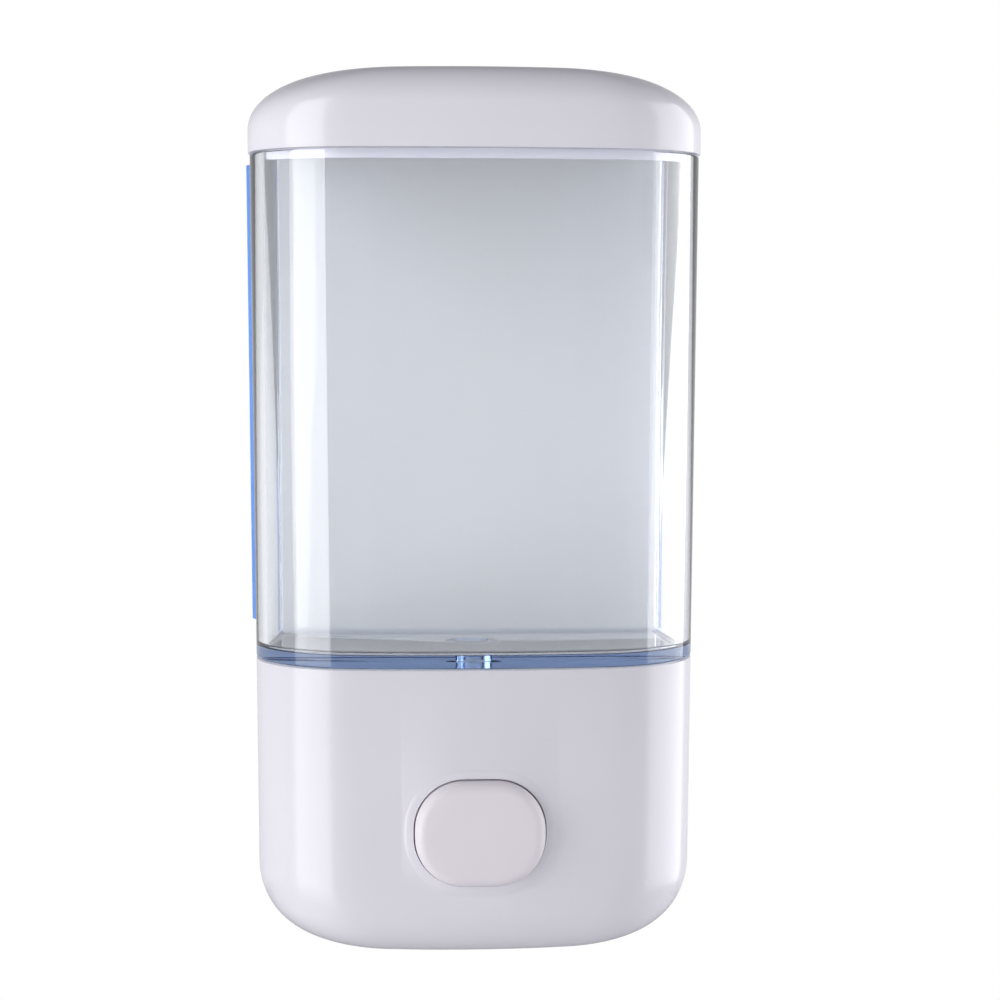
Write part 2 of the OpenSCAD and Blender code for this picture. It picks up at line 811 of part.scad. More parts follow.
// Piston: a grooved head on a rod that reaches into the button
groove_l = 2 * seal_r + hole_gap;
module piston()
    color(natural)
        difference() {
            union() {
                bar_out(bore_r - piston_clear, piston_back_d, piston_d, 0, button_z);
                bar_out(rod_r, piston_d - past, button_back_d - rod_end_gap, 0, button_z);
            }
            translate([0, -(piston_d + piston_back_d) / 2, button_z])
                rotate([90, 0, 0])
                    difference() {
                        cylinder(r = bore_r, h = groove_l, center = true);
                        cylinder(r = bore_r - 2 * (seal_r + skin), h = groove_l + past, center = true);
                    }
        }
module piston_seal()
    color(silicone)
        translate([0, -(piston_d + piston_back_d) / 2, button_z])
            rotate([90, 0, 0]) ring(bore_r - skin - seal_r, seal_r);

// Return spring: a helix with a flat turn at each end, between the barrel cap and the button
spring_steps = 16; // straight steps to a turn
wire_sides = 8;
spring_rings = spring_turns * spring_steps;
flat_turns = 1;
flat_pitch = 2.1 * wire_r;
coil_low = wire_r + skin;
coil_high = spring_l - wire_r - skin;
open_low = coil_low + flat_pitch * flat_turns;
open_high = coil_high - flat_pitch * flat_turns;
function coil_height(turn) =
    turn < flat_turns
        ? coil_low + (open_low - coil_low) * turn / flat_turns
    : turn > spring_turns - flat_turns
        ? coil_high - (coil_high - open_high) * (spring_turns - turn) / flat_turns
    : open_low + (open_high - open_low) * (turn - flat_turns) / (spring_turns - 2 * flat_turns);
spring_points = [
    for (i = [0:spring_rings], j = [0:wire_sides - 1])
        let (a = 360 * i / spring_steps, b = 360 * j / wire_sides, r = spring_r + wire_r * cos(b))
        [r * cos(a), r * sin(a), coil_height(i / spring_steps) + wire_r * sin(b)]
];
spring_faces = concat(
    [[for (j = [wire_sides - 1:-1:0]) j]],
    [
        for (i = [0:spring_rings - 1], j = [0:wire_sides - 1])
            let (k = (j + 1) % wire_sides, low = i * wire_sides, high = low + wire_sides)
            [low + j, low + k, high + k, high + j]
    ],
    [[for (j = [0:wire_sides - 1]) spring_rings * wire_sides + j]]
);
module return_spring()
    color(steel)
        translate([0, -cap_d, button_z]) rotate([90, 0, 0])
            polyhedron(points = spring_points, faces = spring_faces);

// Push button: a hollow cap with a soft front edge, a stop flange and a stem for the rod
button_l = 13.5; // from its face to the back of its skirt
edge_depth = 0.8 * button_edge; // depth of its rounded front edge
edge_turn = 15; // turn between one slice of that edge and the next, in degrees
stop_w = 1.5;
stop_t = 1.4;
stop_d = body_d - shell_t - seam_gap - front_fall(button_w / 2 + stop_w);
stem_t = 1.6;
stem_r = rod_r + stem_t;
stem_l = 8.5;
module button_slice(d, inset)
    at_button(d - skin, d)
        polygon(pad_outline(button_w - 2 * inset, button_h - 2 * inset, button_r - inset));
module push_button()
    color(white) {
        face_d = body_d + button_proud;
        difference() {
            union() {
                hull()
                    for (a = [0:edge_turn:90])
                        button_slice(
                            face_d - edge_depth * (1 - cos(a)), button_edge * (1 - sin(a))
                        );
                at_button(face_d - button_l, face_d - edge_depth)
                    polygon(pad_outline(button_w, button_h, button_r));
                at_button(stop_d - stop_t, stop_d)
                    polygon(pad_outline(
                        button_w + 2 * stop_w, button_h + 2 * stop_w, button_r + stop_w
                    ));
            }
            at_button(face_d - button_l - past, button_back_d)
                polygon(pad_outline(
                    button_w - 2 * button_t, button_h - 2 * button_t, button_r - button_t
                ));
        }
        difference() {
            bar_out(stem_r, button_back_d - stem_l, button_back_d + bond, 0, button_z);
            bar_out(
                rod_r, button_back_d - stem_l - past, button_back_d - rod_end_gap, 0, button_z
            );
        }
    }

wall_plate();
back_panel();
tank();
tank_seal();
lid();
hinge_pins();
pump_cover();
cover_screws();
pump_body();
pump_screws();
barrel_cap();
inlet_valve();
outlet_valve();
nozzle();
nozzle_seal();
channel_plug();
piston();
piston_seal();
return_spring();
push_button();
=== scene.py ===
# %% [markdown]
# # A wall mounted soap dispenser
# Two glossy white mouldings hold a clear tank between them: a hinged lid above and a pump cover with a
# push button below. The CAD model already says where everything is and how it moves. This lesson makes
# the surfaces that people see: the soft edges of the mouldings, the clear tank with its blue edges, and
# the finish of every hidden part. The frame is loaded first, and its box is kept to compare with.

# %% Load the frame
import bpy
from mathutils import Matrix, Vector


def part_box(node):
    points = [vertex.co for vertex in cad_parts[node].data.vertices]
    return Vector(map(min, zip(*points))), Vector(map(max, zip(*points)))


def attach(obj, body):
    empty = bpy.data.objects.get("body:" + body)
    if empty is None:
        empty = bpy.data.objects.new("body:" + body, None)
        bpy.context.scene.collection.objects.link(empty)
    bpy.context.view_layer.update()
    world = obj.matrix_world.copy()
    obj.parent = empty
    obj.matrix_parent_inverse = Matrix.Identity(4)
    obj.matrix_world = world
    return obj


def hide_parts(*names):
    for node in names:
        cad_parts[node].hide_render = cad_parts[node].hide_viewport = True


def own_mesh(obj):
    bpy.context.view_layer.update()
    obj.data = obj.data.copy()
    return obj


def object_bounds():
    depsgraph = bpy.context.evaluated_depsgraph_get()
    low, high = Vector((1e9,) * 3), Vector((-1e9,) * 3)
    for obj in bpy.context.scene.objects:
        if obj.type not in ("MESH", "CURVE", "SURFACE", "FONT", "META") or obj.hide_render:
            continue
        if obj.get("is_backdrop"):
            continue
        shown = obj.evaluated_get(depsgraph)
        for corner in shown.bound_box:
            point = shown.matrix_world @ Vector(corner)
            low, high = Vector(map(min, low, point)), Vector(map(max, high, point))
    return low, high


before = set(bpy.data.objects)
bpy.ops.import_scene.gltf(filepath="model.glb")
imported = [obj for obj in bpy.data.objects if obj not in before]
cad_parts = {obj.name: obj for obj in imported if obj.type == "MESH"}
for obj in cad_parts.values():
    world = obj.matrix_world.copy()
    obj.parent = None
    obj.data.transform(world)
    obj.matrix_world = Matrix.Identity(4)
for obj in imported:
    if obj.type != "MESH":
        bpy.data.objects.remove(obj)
cad_low, cad_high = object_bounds()

# %% Tools and units
import math
import bmesh
import bpy
from mathutils import Vector

MM = 0.001  # the frame is in metres, and the sizes below are written in millimetres

# %% [markdown]
# ## Sizes
# Heights and depths are read from the boxes of the CAD nodes, so that a new piece lands on the old one.
# Only what a box can't tell is written here, such as radii, wall thicknesses and the width of the body
# without its flanges. A `_d` is a distance out from the wall, so its Y is negative.

# %% Sizes taken from the frame
lid_low, lid_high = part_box("lid")
tank_low, tank_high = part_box("tank")
cover_low, cover_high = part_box("pump_cover")
button_low, button_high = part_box("push_button")
nozzle_low, nozzle_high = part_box("nozzle")
pin_low, pin_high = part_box("hinge_pins")

SEAM = 0.3 * MM
WALL_GAP = -lid_high.y
body_half = 50 * MM
body_d = 72 * MM
lid_top = lid_high.z
lid_z = tank_high.z + SEAM
tank_top = tank_high.z
foot_z = cover_low.z
cover_top = cover_high.z
tank_z = cover_top + SEAM
LEAN_IN = 1.5 * MM  # how much narrower each side is at the foot than at the tank's top
lean = LEAN_IN / (tank_top - foot_z)
print("body", round((lid_top - foot_z) / MM, 1), "mm tall, tank", round((tank_top - tank_z) / MM, 1))


# %% Width of the body at a height
def half_at(z):
    """Half the body's width: the sides lean in a little towards the foot."""
    return body_half - lean * (tank_top - z)


# %% [markdown]
# ## Working in edit mode
# Each piece starts as a primitive with everything else deselected, because an operator acts on all that
# is selected. `begin` adds it, puts its origin at zero and opens edit mode, so a place in the mesh is a
# place in the frame. `pick` then selects by place, as a hand would with a box or a circle.

# %% Begin a shape, pick parts of it, and finish it
def begin(add, **settings):
    """Adds a primitive on its own and opens it in edit mode, all selected."""
    bpy.ops.object.select_all(action="DESELECT")
    add(**settings)
    bpy.ops.object.transform_apply(location=True, rotation=True, scale=True)
    bpy.ops.object.mode_set(mode="EDIT")
    bpy.ops.mesh.select_mode(type="VERT")
    bpy.ops.mesh.select_all(action="SELECT")


def pick(kind, test):
    """Selects only the VERT, EDGE or FACE items whose middle passes a test."""
    bpy.ops.mesh.select_all(action="DESELECT")
    bpy.ops.mesh.select_mode(type=kind)
    mesh = bmesh.from_edit_mesh(bpy.context.object.data)
    for item in {"VERT": mesh.verts, "EDGE": mesh.edges, "FACE": mesh.faces}[kind]:
        corners = [item] if kind == "VERT" else item.verts
        middle = sum((v.co for v in corners), Vector()) / len(corners)
        item.select_set(bool(test(middle, item)))
    mesh.select_flush_mode()
    bmesh.update_edit_mesh(bpy.context.object.data)


def done(name):
    """Turns all faces outwards and leaves edit mode."""
    bpy.ops.mesh.select_all(action="SELECT")
    bpy.ops.mesh.normals_make_consistent(inside=False)
    bpy.ops.object.mode_set(mode="OBJECT")
    piece = bpy.context.object
    piece.name = name
    piece.data.name = name
    return piece


# %% [markdown]
# Modifiers do what would be slow by hand. Solidify gives a moulding its wall, Bevel takes the sharpness
# off an edge as a mould does, and Boolean joins a boss or cuts a hole. Each is applied at once.

# %% Modifiers, applied as soon as they are added
def choose(piece):
    """Selects one piece, and nothing else, for the next operator."""
    bpy.ops.object.select_all(action="DESELECT")
    piece.select_set(True)
    bpy.context.view_layer.objects.active = piece


def apply(piece, kind, **settings):
    """Adds a modifier, sets it and applies it."""
    choose(piece)
    modifier = piece.modifiers.new(kind.title(), kind)
    for name, value in settings.items():
        setattr(modifier, name, value)
    bpy.ops.object.modifier_apply(modifier=modifier.name)


def give_wall(piece, thickness):
    """Thickens an open shell inwards."""
    apply(piece, "SOLIDIFY", thickness=thickness, offset=-1, use_even_offset=True)


def soften(piece, width, steps=2, over=40):
    """Rounds every edge that is sharper than an angle in degrees."""
    apply(
        piece, "BEVEL", width=width, segments=steps, limit_method="ANGLE",
        angle_limit=math.radians(over), harden_normals=False,
    )


def combine(piece, tool, how):
    """Joins (UNION) or cuts (DIFFERENCE) with another solid, which is used up."""
    apply(piece, "BOOLEAN", operation=how, object=tool, solver="EXACT")
    bpy.data.objects.remove(tool)


# %% Smooth shading
def smooth(piece, angle=35):
    """Shades a piece smooth, with a crease where faces meet more sharply than an angle."""
    choose(piece)
    bpy.ops.object.shade_smooth_by_angle(angle=math.radians(angle))
    print(piece.name, len(piece.data.polygons), "faces,", [round(x / MM, 1) for x in piece.dimensions])


# %% [markdown]
# ## The body's outline
# Seen from above, the body is straight at the sides, with wide round corners and a front that bows out
# very gently. One vertex draws half of it: it is extruded along the straight stretches and spun round
# the arcs. A mirrored copy makes the other half. Corner and bow share one tangent, so no crease shows.

# %% Draw an outline
CORNER_R = 24 * MM
BOW_R = 240 * MM
CORNER_STEPS = 18
BOW_STEPS = 8


def draw(x, y):
    """Extrudes the selected vertex along a straight line."""
    bpy.ops.mesh.extrude_region_move(TRANSFORM_OT_translate={"value": (x, y, 0)})


def turn_round(x, y, z, angle, steps):
    """Spins the selected vertex clockwise round a centre."""
    bpy.ops.mesh.spin(steps=steps, angle=angle, center=(x, y, z), axis=(0, 0, 1))


def outline(z, half, near, far, grow=0, back_r=None):
    """Half the body's outline and its mirror image, open at the wall or closed with back corners."""
    corner_r, bow_r = CORNER_R + grow, BOW_R + grow
    turn = math.asin((half - corner_r) / (bow_r - corner_r))
    bow_y = bow_r - far
    corner_y = bow_y - (bow_r - corner_r) * math.cos(turn)
    start_x = half if back_r is None else 0
    begin(bpy.ops.mesh.primitive_plane_add, size=MM, location=(start_x, -near, z))
    bpy.ops.mesh.merge(type="CENTER")
    if back_r is None:
        draw(0, corner_y + near)
    else:
        draw(half - back_r, 0)
        turn_round(half - back_r, -near - back_r, z, math.pi / 2, 6)
        draw(0, corner_y + near + back_r)
    turn_round(half - corner_r, corner_y, z, math.pi / 2 - turn, CORNER_STEPS)
    turn_round(0, bow_y, z, turn, BOW_STEPS)
    bpy.ops.mesh.select_all(action="SELECT")
    bpy.ops.mesh.duplicate()
    bpy.ops.transform.resize(value=(-1, 1, 1), center_override=(0, 0, 0))
    bpy.ops.mesh.select_all(action="SELECT")
    bpy.ops.mesh.remove_doubles(threshold=0.01 * MM)


def front_fall(x):
    """How far the bowed front lies behind its middle at a distance to the side."""
    return BOW_R - math.sqrt(BOW_R**2 - x**2)


def follow_bow(piece):
    """Lets a piece made on a flat front follow the bow."""
    for vertex in piece.data.vertices:
        vertex.co.y += front_fall(vertex.co.x)
    return piece


# %% [markdown]
# A ring is (height, half width, near, far). `loft` extrudes the outline from ring to ring and resizes it
# about the middle of its wall side, so the width and the depth can shrink by different amounts. This is
# what makes the lid's corners: wide and low from the front, and tighter from the side, with no crease.

# %% Loft an outline through rings, and close its ends
def loft(rings):
    """Extrudes the selected outline through rings, resizing it at each."""
    for (z1, half1, near1, far1), (z2, half2, near2, far2) in zip(rings, rings[1:]):
        bpy.ops.mesh.extrude_region_move(
            TRANSFORM_OT_translate={"value": (0, near1 - near2, z2 - z1)}
        )
        bpy.ops.transform.resize(
            value=(half2 / half1, (far2 - near2) / (far1 - near1), 1),
            center_override=(0, -near2, 0),
        )


def close_at(z):
    """Fills the ring of vertices at a height with one face."""
    pick("VERT", lambda p, v: abs(p.z - z) < 0.001 * MM)
    bpy.ops.mesh.edge_face_add()


def drawn_in(along, up, past):
    """How far a rounded edge has drawn in at a distance past its start, for its two radii."""
    return along * (1 - math.sqrt(max(0, 1 - (max(0, past) / up) ** 2)))


# %% Blocks, bars and pads to join or cut with
def block(low, high):
    """A plain block between two corners, in edit mode."""
    middle = (Vector(low) + Vector(high)) / 2
    begin(bpy.ops.mesh.primitive_cube_add, size=1, location=middle)
    bpy.ops.transform.resize(value=Vector(high) - Vector(low), center_override=middle)


def bar(radius, start, end, sides=64):
    """A round bar between two points, in edit mode."""
    way = Vector(end) - Vector(start)
    begin(
        bpy.ops.mesh.primitive_cylinder_add, vertices=sides, radius=radius, depth=way.length,
        location=(Vector(start) + Vector(end)) / 2,
        rotation=way.to_track_quat("Z", "Y").to_euler(),
    )


def pad(width, height, corner, near, far, z):
    """A block with four rounded corners, seen from the front, in edit mode."""
    block((-width / 2, -far, z - height / 2), (width / 2, -near, z + height / 2))
    pick("EDGE", lambda p, e: abs(e.verts[0].co.y - e.verts[1].co.y) > 0.1 * MM)
    bpy.ops.mesh.bevel(offset=corner, segments=14, affect="EDGES")


def step_face(facing, steps):
    """Insets and moves the end face of a pad, once for each (inset, forward)."""
    pick("FACE", lambda p, f: f.normal.y * facing > 0.99)
    for inward, forward in steps:
        bpy.ops.mesh.inset(thickness=inward)
        bpy.ops.transform.translate(value=(0, forward * facing, 0))


# %% [markdown]
# ## The lid
# The lid is one ABS moulding with a wall of 2.4 mm. Its top corners are quarter ellipses seen from the
# front, its front edge has a radius of 8 mm, and its back edge turns about the hinge, so that edge is a
# quarter circle about the pin. All three come from the rings of one loft. It is open at the back, and a
# bisect cuts the back corners up so that they clear the tank as the lid swings.

# %% The lid's shell
WALL = 2.4 * MM
LID_CORNER = (23 * MM, 12.5 * MM)
LID_FRONT_R = 8 * MM
RINGS = 24
lid_half = lid_high.x
lid_d = -lid_low.y
hinge_y = (pin_low.y + pin_high.y) / 2
hinge_z = (pin_low.z + pin_high.z) / 2
back_r = lid_top - hinge_z

lid_rings = [(lid_z, lid_half, WALL_GAP, lid_d)]
for i in range(RINGS + 1):
    up = LID_CORNER[1] * math.sin(math.pi / 2 * i / RINGS)
    z = lid_top - LID_CORNER[1] + up
    lid_rings.append((
        z,
        lid_half - drawn_in(*LID_CORNER, up),
        WALL_GAP + drawn_in(back_r, back_r, z - hinge_z),
        lid_d - drawn_in(LID_FRONT_R, LID_FRONT_R, z - lid_top + LID_FRONT_R),
    ))
outline(lid_z, lid_half, WALL_GAP, lid_d, grow=lid_half - body_half)
loft(lid_rings)
close_at(lid_top)
NOTCH = (7 * MM, 1.6 * MM)  # how far out from the wall the back corners are cut up, and how high
bpy.ops.mesh.select_all(action="SELECT")
bpy.ops.mesh.bisect(
    plane_co=(0, -NOTCH[0], lid_z), plane_no=(0, NOTCH[1], -(NOTCH[0] - WALL_GAP)), clear_outer=True
)
lid = done("lid_moulding")
give_wall(lid, WALL)
soften(lid, 0.3 * MM)
print("lid", [round(x / MM, 2) for x in (*lid.bound_box[0], *lid.bound_box[6])])

# %% [markdown]
# Under the lid a thin ring keys into the tank's mouth. A ledge joins it to the shell, and its white edge
# is what shows through the tank's clear rim. Four lugs at the back hold the hinge pins.

# %% The plug ring, its ledge and the hinge lugs
def rim(low, high, inset, thickness, near):
    """A closed ring that follows the body's outline, set in from it."""
    half, far = body_half - inset, body_d - inset
    outline(low, half, near, far, grow=-inset, back_r=2.5 * MM)
    loft([(low, half, near, far), (high, half, near, far)])
    ring = done("rim")
    give_wall(ring, thickness)
    return ring


PLUG_IN, PLUG_T, PLUG_H, LEDGE_H = 3.4 * MM, 1.6 * MM, 2.4 * MM, 2 * MM
plug_back = 16.1 * MM
plug = rim(lid_z - PLUG_H, lid_z + LEDGE_H, PLUG_IN, PLUG_T, plug_back)
soften(plug, 0.25 * MM)
ledge = rim(lid_z + 0.05 * MM, lid_z + LEDGE_H, WALL - 0.6 * MM, 1.8 * MM, plug_back - 1.5 * MM)
combine(lid, ledge, "UNION")
combine(lid, plug, "UNION")

LUG_W = 4 * MM
EAR_X, LUG_OFF = 25 * MM, 7.3 * MM  # an ear's middle, and a lug's distance to either side of it
for side in (-1, 1):
    for step in (-1, 1):
        middle = side * (EAR_X + step * LUG_OFF)
        bar(
            back_r - WALL + 0.2 * MM,
            (middle - LUG_W / 2, hinge_y, hinge_z), (middle + LUG_W / 2, hinge_y, hinge_z), 48,
        )
        combine(lid, done("lug"), "UNION")
smooth(lid)
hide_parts("lid")
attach(lid, "lid")

# %% [markdown]
# ## The tank
# The tank is polished clear plastic, so both its faces matter: light enters the outer one and leaves by
# the inner one. The outside is a closed loft with a fine bevel. The cavity is a second one, with a round
# of 1.2 mm where the floor meets the walls, and a Boolean takes one from the other. Flange and spigot
# are joined first, so the plastic is one solid with no faces inside it.

# %% The tank's outside, with its flange
TANK_WALL, FLOOR = 2.4 * MM, 2.8 * MM
tank_back = 10.7 * MM
outline(tank_z, half_at(tank_z), tank_back, body_d, back_r=1.5 * MM)
loft([(tank_z, half_at(tank_z), tank_back, body_d), (tank_top, body_half, tank_back, body_d)])
close_at(tank_z)
close_at(tank_top)
tank = done("clear_tank")
soften(tank, 0.45 * MM, steps=3, over=60)

FLANGE_T, FLANGE_LIFT = 1.6 * MM, 4 * MM
flange_out = tank_high.x
flange_w = flange_out - body_half
flange_low = tank_z + FLANGE_LIFT
for side in (-1, 1):
    inner_x = side * (body_half - 8 * MM)
    block(
        (min(inner_x, side * flange_out), -tank_back - FLANGE_T, flange_low - flange_w - MM),
        (max(inner_x, side * flange_out), -tank_back, tank_top),
    )
    pick("EDGE", lambda p, e: side * p.x > flange_out - 0.1 * MM and p.z < flange_low)
    bpy.ops.transform.translate(
        value=(-side * lean * (tank_top - flange_low), 0, flange_w + MM)
    )
    flange = done("flange")
    soften(flange, 0.25 * MM, over=50)
    combine(tank, flange, "UNION")

# %% The spigot
SPIGOT_R, SPIGOT_BORE = 6 * MM, 4 * MM
port_y = -30.2 * MM
bar(SPIGOT_R, (0, port_y, tank_low.z), (0, port_y, tank_z + MM))
combine(tank, done("spigot"), "UNION")

# %% The cavity
FILLET = 1.2 * MM
cavity_near, cavity_far = tank_back + TANK_WALL, body_d - TANK_WALL
cavity_floor = tank_z + FLOOR
cavity_rings = []
for i in range(9):
    angle = math.pi / 2 * i / 8
    z = cavity_floor + FILLET * (1 - math.cos(angle))
    drawn = FILLET * (1 - math.sin(angle))
    half = half_at(z) - TANK_WALL - drawn
    cavity_rings.append((z, half, cavity_near + drawn, cavity_far - drawn))
cavity_top = tank_top + MM
cavity_rings.append((cavity_top, body_half - TANK_WALL, cavity_near, cavity_far))
z, half, near, far = cavity_rings[0]
outline(z, half, near, far, grow=-TANK_WALL - FILLET, back_r=MM)
loft(cavity_rings)
close_at(cavity_floor)
close_at(cavity_top)
combine(tank, done("cavity"), "DIFFERENCE")
bar(SPIGOT_BORE, (0, port_y, tank_low.z - MM), (0, port_y, cavity_floor + MM))
combine(tank, done("bore"), "DIFFERENCE")
smooth(tank, 30)
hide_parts("tank")
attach(tank, "housing")

# %% [markdown]
# ## The pump cover
# The cover is the lid's counterpart: the same outline lofted downwards, with corners of 17 mm seen from
# the front and a front edge of 9 mm. A raised rim with soft edges surrounds the button's opening. The
# opening's cutter flares at its mouth, which leaves a small round on the edge.

# %% The cover's shell
COVER_CORNER_R, COVER_FRONT_R = 17 * MM, 9 * MM
corner_z = foot_z + COVER_CORNER_R
cover_rings = [(cover_top, half_at(cover_top), WALL_GAP, body_d)]
for i in range(RINGS + 1):
    down = COVER_CORNER_R * math.sin(math.pi / 2 * i / RINGS)
    z = corner_z - down
    cover_rings.append((
        z,
        half_at(corner_z) - drawn_in(COVER_CORNER_R, COVER_CORNER_R, down),
        WALL_GAP,
        body_d - drawn_in(COVER_FRONT_R, COVER_FRONT_R, foot_z + COVER_FRONT_R - z),
    ))
outline(cover_top, half_at(cover_top), WALL_GAP, body_d)
loft(cover_rings)
close_at(foot_z)
cover = done("pump_cover_moulding")
give_wall(cover, WALL)
soften(cover, 0.3 * MM)

# %% The rim and the opening
button_z = (button_low.z + button_high.z) / 2
BUTTON_W, BUTTON_H, BUTTON_R = 28.3 * MM, 23 * MM, 10.7 * MM
BUTTON_GAP, RIM_W, RIM_H = 0.3 * MM, 2.2 * MM, 0.35 * MM
grow = 2 * (BUTTON_GAP + RIM_W)
pad(BUTTON_W + grow, BUTTON_H + grow, BUTTON_R + grow / 2, body_d - MM, body_d - 0.05 * MM, button_z)
RIM_STEPS = ((0.35, 0.16), (0.4, 0.12), (0.5, 0.08), (0.5, 0.04), (1, 0))
step_face(-1, [(inward * MM, forward * MM) for inward, forward in RIM_STEPS])
combine(cover, follow_bow(done("button_rim")), "UNION")

grow = 2 * BUTTON_GAP
pad(
    BUTTON_W + grow, BUTTON_H + grow, BUTTON_R + BUTTON_GAP,
    body_d - WALL - 2 * MM, body_d + RIM_H - 0.29 * MM, button_z,
)
FLARE_STEPS = ((-0.05, 0.12), (-0.12, 0.1), (-0.2, 0.07), (-1, 0.5))
step_face(-1, [(inward * MM, forward * MM) for inward, forward in FLARE_STEPS])
combine(cover, follow_bow(done("button_opening")), "DIFFERENCE")

# %% The holes underneath and the tabs under the shelf
nozzle_y = (nozzle_low.y + nozzle_high.y) / 2
nozzle_hole_r = nozzle_high.x + MM
bar(nozzle_hole_r, (0, nozzle_y, foot_z - MM), (0, nozzle_y, foot_z + WALL + MM))
combine(cover, done("nozzle_hole"), "DIFFERENCE")
screw_low, screw_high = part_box("cover_screws")
screw_y = (screw_low.y + screw_high.y) / 2
HEAD_R, SHANK_R, HEAD_H = 3.1 * MM, 1.6 * MM, 1.2 * MM
screw_x = screw_high.x - 2.9 * MM
TAB_X, TAB_HALF_W, TAB_T, TAB_REACH = 18 * MM, 4 * MM, 2.4 * MM, 6 * MM
tab_top = cover_top - WALL - SEAM
for side in (-1, 1):
    for radius, top in ((SHANK_R, foot_z + WALL + MM), (HEAD_R, foot_z + HEAD_H)):
        bar(radius, (side * screw_x, screw_y, foot_z - MM), (side * screw_x, screw_y, top), 48)
        combine(cover, done("screw_hole"), "DIFFERENCE")
    block(
        (side * TAB_X - TAB_HALF_W, -body_d + WALL - 0.3 * MM, tab_top - TAB_T),
        (side * TAB_X + TAB_HALF_W, -body_d + WALL + TAB_REACH, tab_top),
    )
    combine(cover, done("tab"), "UNION")
smooth(cover)
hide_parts("pump_cover")
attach(cover, "housing")

# %% [markdown]
# ## The push button
# The button is a hollow cap. Its pad is stepped forward by insets that follow a quarter ellipse, which
# gives the wide soft edge that catches the light, and a faint dome takes the flatness off its face. Two
# bisects mark out the band of the stop flange, which is then pushed out along its normals.

# %% The button's cap
EDGE_IN, EDGE_D, BUTTON_L, BUTTON_T = 2.6 * MM, 2.08 * MM, 13.5 * MM, 1.8 * MM
face_d = -button_low.y
dome = 0.2 * MM
pad(BUTTON_W, BUTTON_H, BUTTON_R, face_d - BUTTON_L, face_d - EDGE_D - dome, button_z)
edge_steps = []
for i in range(10):
    a1, a2 = math.pi / 2 * i / 10, math.pi / 2 * (i + 1) / 10
    edge_steps.append((EDGE_IN * (math.cos(a1) - math.cos(a2)), EDGE_D * (math.sin(a2) - math.sin(a1))))
for inward, forward in ((1.5, 0.09), (2.0, 0.07), (2.5, 0.04)):
    edge_steps.append((inward * MM, forward * MM))
step_face(-1, edge_steps)
step_face(1, [(BUTTON_T, 0)])
bpy.ops.mesh.extrude_region_move(TRANSFORM_OT_translate={"value": (0, BUTTON_T - BUTTON_L, 0)})

STOP_W, STOP_T = 1.5 * MM, 1.4 * MM
stop_d = body_d - WALL - SEAM - front_fall(BUTTON_W / 2 + STOP_W)
for d in (stop_d, stop_d - STOP_T):
    bpy.ops.mesh.select_all(action="SELECT")
    bpy.ops.mesh.bisect(plane_co=(0, -d, button_z), plane_no=(0, 1, 0))


def on_stop_band(p, face):
    """Whether a face is on the outside of the skirt, between the two bisects."""
    outwards = face.normal.x * p.x + face.normal.z * (p.z - button_z) > 0
    return outwards and abs(face.normal.y) < 0.1 and stop_d - STOP_T < -p.y < stop_d


pick("FACE", on_stop_band)
bpy.ops.mesh.extrude_region_shrink_fatten(TRANSFORM_OT_shrink_fatten={"value": STOP_W})
button = done("button_cap")

# %% The stem that holds the piston's rod
STEM_R, ROD_R, STEM_L = 4.6 * MM, 3 * MM, 8.5 * MM
inside_d = face_d - BUTTON_T
bar(STEM_R, (0, -inside_d + STEM_L, button_z), (0, -inside_d - 0.2 * MM, button_z), 48)
stem = done("stem")
bar(ROD_R, (0, -inside_d + STEM_L + MM, button_z), (0, -inside_d + MM, button_z), 48)
combine(stem, done("rod_hole"), "DIFFERENCE")
combine(button, stem, "UNION")
smooth(button, 30)
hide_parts("push_button")
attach(button, "button")

# %% [markdown]
# ## The return spring
# A spring is a wire wound on a helix, with its end turns laid flat. It is a curve whose points follow
# the helix, with a round bevel for the wire, turned into a mesh. The button squashes it against the
# barrel's cap.

# %% The spring
spring_low, spring_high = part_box("return_spring")
WIRE_R, SPRING_TURNS, TURN_STEPS = 0.5 * MM, 8, 24
coil_r = spring_high.x - WIRE_R
coil_start, coil_end = spring_high.y - WIRE_R, spring_low.y + WIRE_R
flat_pitch = 2.1 * WIRE_R
path = bpy.data.curves.new("return_spring_wire", "CURVE")
path.dimensions = "3D"
path.bevel_depth = WIRE_R
path.bevel_resolution = 3
path.use_fill_caps = True
helix = path.splines.new("POLY")
helix.points.add(SPRING_TURNS * TURN_STEPS)
open_pitch = (coil_start - coil_end - 2 * flat_pitch) / (SPRING_TURNS - 2)
for i, point in enumerate(helix.points):
    turn = i / TURN_STEPS
    travel = flat_pitch * min(turn, 1) + open_pitch * min(max(turn - 1, 0), SPRING_TURNS - 2)
    travel += flat_pitch * max(turn - SPRING_TURNS + 1, 0)
    around = 2 * math.pi * turn
    x, z = coil_r * math.cos(around), button_z + coil_r * math.sin(around)
    point.co = (x, coil_start - travel, z, 1)
spring = bpy.data.objects.new("return_spring_wire", path)
bpy.context.scene.collection.objects.link(spring)
choose(spring)
bpy.ops.object.convert(target="MESH")
spring = bpy.context.object
smooth(spring, 60)
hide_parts("return_spring")
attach(spring, "housing")
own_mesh(spring)

# %% [markdown]
# ## Finishes
# Every finish is a Principled shader. Its colours are written as they look on a screen and turned to
# the linear values that the shader wants. Patterns read Object coordinates, which are metres in the
# frame, so a pattern's size is given in millimetres and turned into a scale.

# %% Colours, nodes and pattern sizes
def colour(code):
    """An sRGB hex colour as a linear one."""
    parts = [int(code[i:i + 2], 16) / 255 for i in (1, 3, 5)]
    return [c / 12.92 if c < 0.04045 else ((c + 0.055) / 1.055) ** 2.4 for c in parts] + [1]


